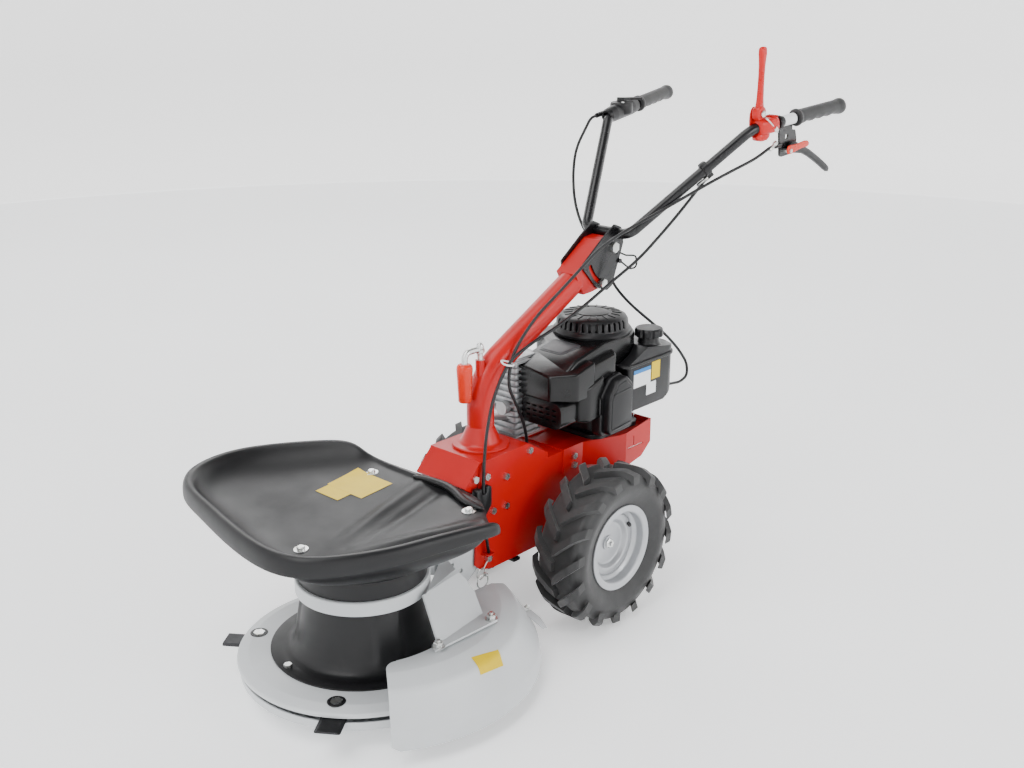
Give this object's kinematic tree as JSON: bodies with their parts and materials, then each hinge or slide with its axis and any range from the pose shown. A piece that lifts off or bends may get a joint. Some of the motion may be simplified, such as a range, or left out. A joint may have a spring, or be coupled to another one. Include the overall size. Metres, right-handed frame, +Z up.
{
  "type": "walk-behind drum mower",
  "caption": "Two-wheel walk-behind drum mower: belt-driven cutting drum under a bowl cover, engine over the axle, swivelling and tilting handlebar.",
  "frame": {"origin": "where the drum's axis meets the ground, in the middle of the flat underside of the glide dish", "axes": "+Z up, +Y to the rear towards the grips, +X to the operator's left"},
  "size_m": [0.6677, 1.4719, 1.109],
  "materials": {
    "red_paint": "gloss powder coat",
    "black_paint": "satin powder coat",
    "white_paint": "gloss powder coat",
    "silver_paint": "silver metallic lacquer",
    "tyre_rubber": "matt",
    "grip_rubber": "matt",
    "black_plastic": "satin",
    "red_plastic": "gloss",
    "zinc_steel": "zinc plated",
    "cast_aluminium": "as cast",
    "belt_rubber": "matt",
    "cable_sheath": "satin"
  },
  "bodies": {
    "chassis": {"chassis_frame": "red_paint", "engine_frame": "red_paint", "gearbox_case": "black_paint", "mower_frame": "white_paint", "spindle_housing": "black_paint", "coupling_pin": "zinc_steel", "frame_bolts": "zinc_steel", "bowl_cover": "black_paint", "swath_guard": "white_paint", "guard_bracket": "white_paint", "engine_block": "black_paint", "cylinder_head": "cast_aluminium", "blower_housing": "black_paint", "recoil_cover": "black_plastic", "starter_grip": "black_plastic", "air_filter_cover": "black_plastic", "carburettor": "cast_aluminium", "muffler_guard": "black_paint", "fuel_tank": "black_plastic", "drum_belt": "belt_rubber", "drive_belt": "belt_rubber", "throttle_cable": "cable_sheath", "clutch_cable": "cable_sheath", "blade_cable": "cable_sheath"},
    "wheel_set": {"tyre_left": "tyre_rubber", "tyre_right": "tyre_rubber", "rim_left": "silver_paint", "rim_right": "silver_paint", "axle_shaft": "zinc_steel"},
    "steering": {"steering_column": "red_paint", "clamp_bolts": "zinc_steel"},
    "column_lock": {"lock_rod": "zinc_steel", "lock_grip": "red_plastic"},
    "handlebar": {"handlebar_tube": "black_paint", "clamp_plates": "black_paint", "grip_left": "grip_rubber", "grip_right": "grip_rubber", "throttle_housing": "black_plastic", "blade_lever_bracket": "red_paint", "clutch_bracket": "black_paint", "control_pins": "zinc_steel", "cable_guides": "black_paint"},
    "blade_lever": {"blade_lever": "red_plastic"},
    "clutch_lever": {"clutch_lever": "black_plastic"},
    "safety_lock": {"safety_lock": "red_plastic"},
    "throttle_lever": {"throttle_lever": "black_plastic"},
    "fuel_cap": {"fuel_cap": "black_plastic"},
    "crank": {"crankshaft": "zinc_steel"},
    "gear_input": {"input_pulley": "zinc_steel"},
    "drum": {"spindle_shaft": "zinc_steel", "drum_skirt": "black_paint", "knife_disc": "white_paint", "drum_bolts": "zinc_steel"},
    "knife_1": {"blade_1": "black_paint"},
    "knife_2": {"blade_2": "black_paint"},
    "knife_3": {"blade_3": "black_paint"},
    "knife_4": {"blade_4": "black_paint"},
    "glide_dish": {"glide_dish": "white_paint"},
    "drum_tensioner": {"tension_arm": "black_paint"},
    "drive_tensioner": {"drive_arm": "black_paint"}
  },
  "joints": [
    {"name": "axle_roll", "type": "hinge", "parent": "chassis", "child": "wheel_set", "pos_m": [0, 0.486, 0.165], "axis": [1, 0, 0], "continuous": true},
    {"name": "column_swivel", "type": "hinge", "parent": "chassis", "child": "steering", "pos_m": [0, 0.311, 0.38], "axis": [0, 0, 1], "range_deg": [-35, 35]},
    {"name": "lock_lift", "type": "slide", "parent": "steering", "child": "column_lock", "axis": [0, 0, 1], "range_m": [0, 0.02]},
    {"name": "handlebar_tilt", "type": "hinge", "parent": "steering", "child": "handlebar", "pos_m": [0, 0.675, 0.716], "axis": [1, 0, 0], "range_deg": [0, 36], "deforming": ["throttle_cable", "clutch_cable", "blade_cable"]},
    {"name": "blade_lever_pull", "type": "hinge", "parent": "handlebar", "child": "blade_lever", "pos_m": [0.195, 0.946, 0.97497], "axis": [1, 0, 0], "range_deg": [-65, 0]},
    {"name": "clutch_lever_squeeze", "type": "hinge", "parent": "handlebar", "child": "clutch_lever", "pos_m": [0.205, 1.06, 0.895], "axis": [1, 0, 0], "range_deg": [0, 28]},
    {"name": "safety_lock_press", "type": "hinge", "parent": "handlebar", "child": "safety_lock", "pos_m": [0.215, 1.027, 0.894], "axis": [1, 0, 0], "range_deg": [0, 25]},
    {"name": "throttle_turn", "type": "hinge", "parent": "handlebar", "child": "throttle_lever", "pos_m": [-0.19556, 0.982, 0.97], "axis": [0, 0, 1], "range_deg": [0, 40]},
    {"name": "fuel_cap_turn", "type": "hinge", "parent": "chassis", "child": "fuel_cap", "pos_m": [0.08, 0.742, 0.53], "axis": [0, 0, 1], "continuous": true},
    {"name": "crank_spin", "type": "hinge", "parent": "chassis", "child": "crank", "pos_m": [0, 0.65, 0.3], "axis": [0, 0, 1], "continuous": true},
    {"name": "input_spin", "type": "hinge", "parent": "chassis", "child": "gear_input", "pos_m": [0, 0.536, 0.274], "axis": [0, 0, 1], "continuous": true},
    {"name": "drum_spin", "type": "hinge", "parent": "chassis", "child": "drum", "pos_m": [0, 0, 0.1], "axis": [0, 0, 1], "continuous": true},
    {"name": "dish_spin", "type": "hinge", "parent": "drum", "child": "glide_dish", "pos_m": [0, 0, 0.02], "axis": [0, 0, 1], "continuous": true},
    {"name": "drum_belt_tension", "type": "hinge", "parent": "chassis", "child": "drum_tensioner", "pos_m": [0.008, 0.34, 0.2], "axis": [0, 0, 1], "range_deg": [-6, 0]},
    {"name": "drive_belt_tension", "type": "hinge", "parent": "chassis", "child": "drive_tensioner", "pos_m": [-0.08, 0.655, 0.3], "axis": [0, 0, 1], "range_deg": [0, 4]},
    {"name": "knife_1_swing", "type": "hinge", "parent": "drum", "child": "knife_1", "pos_m": [0.11701, -0.16711, 0.062], "axis": [0, 0, 1], "continuous": true},
    {"name": "knife_2_swing", "type": "hinge", "parent": "drum", "child": "knife_2", "pos_m": [0.16711, 0.11701, 0.062], "axis": [0, 0, 1], "continuous": true},
    {"name": "knife_3_swing", "type": "hinge", "parent": "drum", "child": "knife_3", "pos_m": [-0.11701, 0.16711, 0.062], "axis": [0, 0, 1], "continuous": true},
    {"name": "knife_4_swing", "type": "hinge", "parent": "drum", "child": "knife_4", "pos_m": [-0.16711, -0.11701, 0.062], "axis": [0, 0, 1], "continuous": true}
  ],
  "couplings": [
    {"joint": "crank_spin", "follows": "drum_spin", "ratio": 1.5789},
    {"joint": "input_spin", "follows": "drum_spin", "ratio": 1.3636},
    {"joint": "drum_belt_tension", "follows": "blade_lever_pull", "ratio": 0.092308},
    {"joint": "drive_belt_tension", "follows": "clutch_lever_squeeze", "ratio": 0.14286}
  ]
}
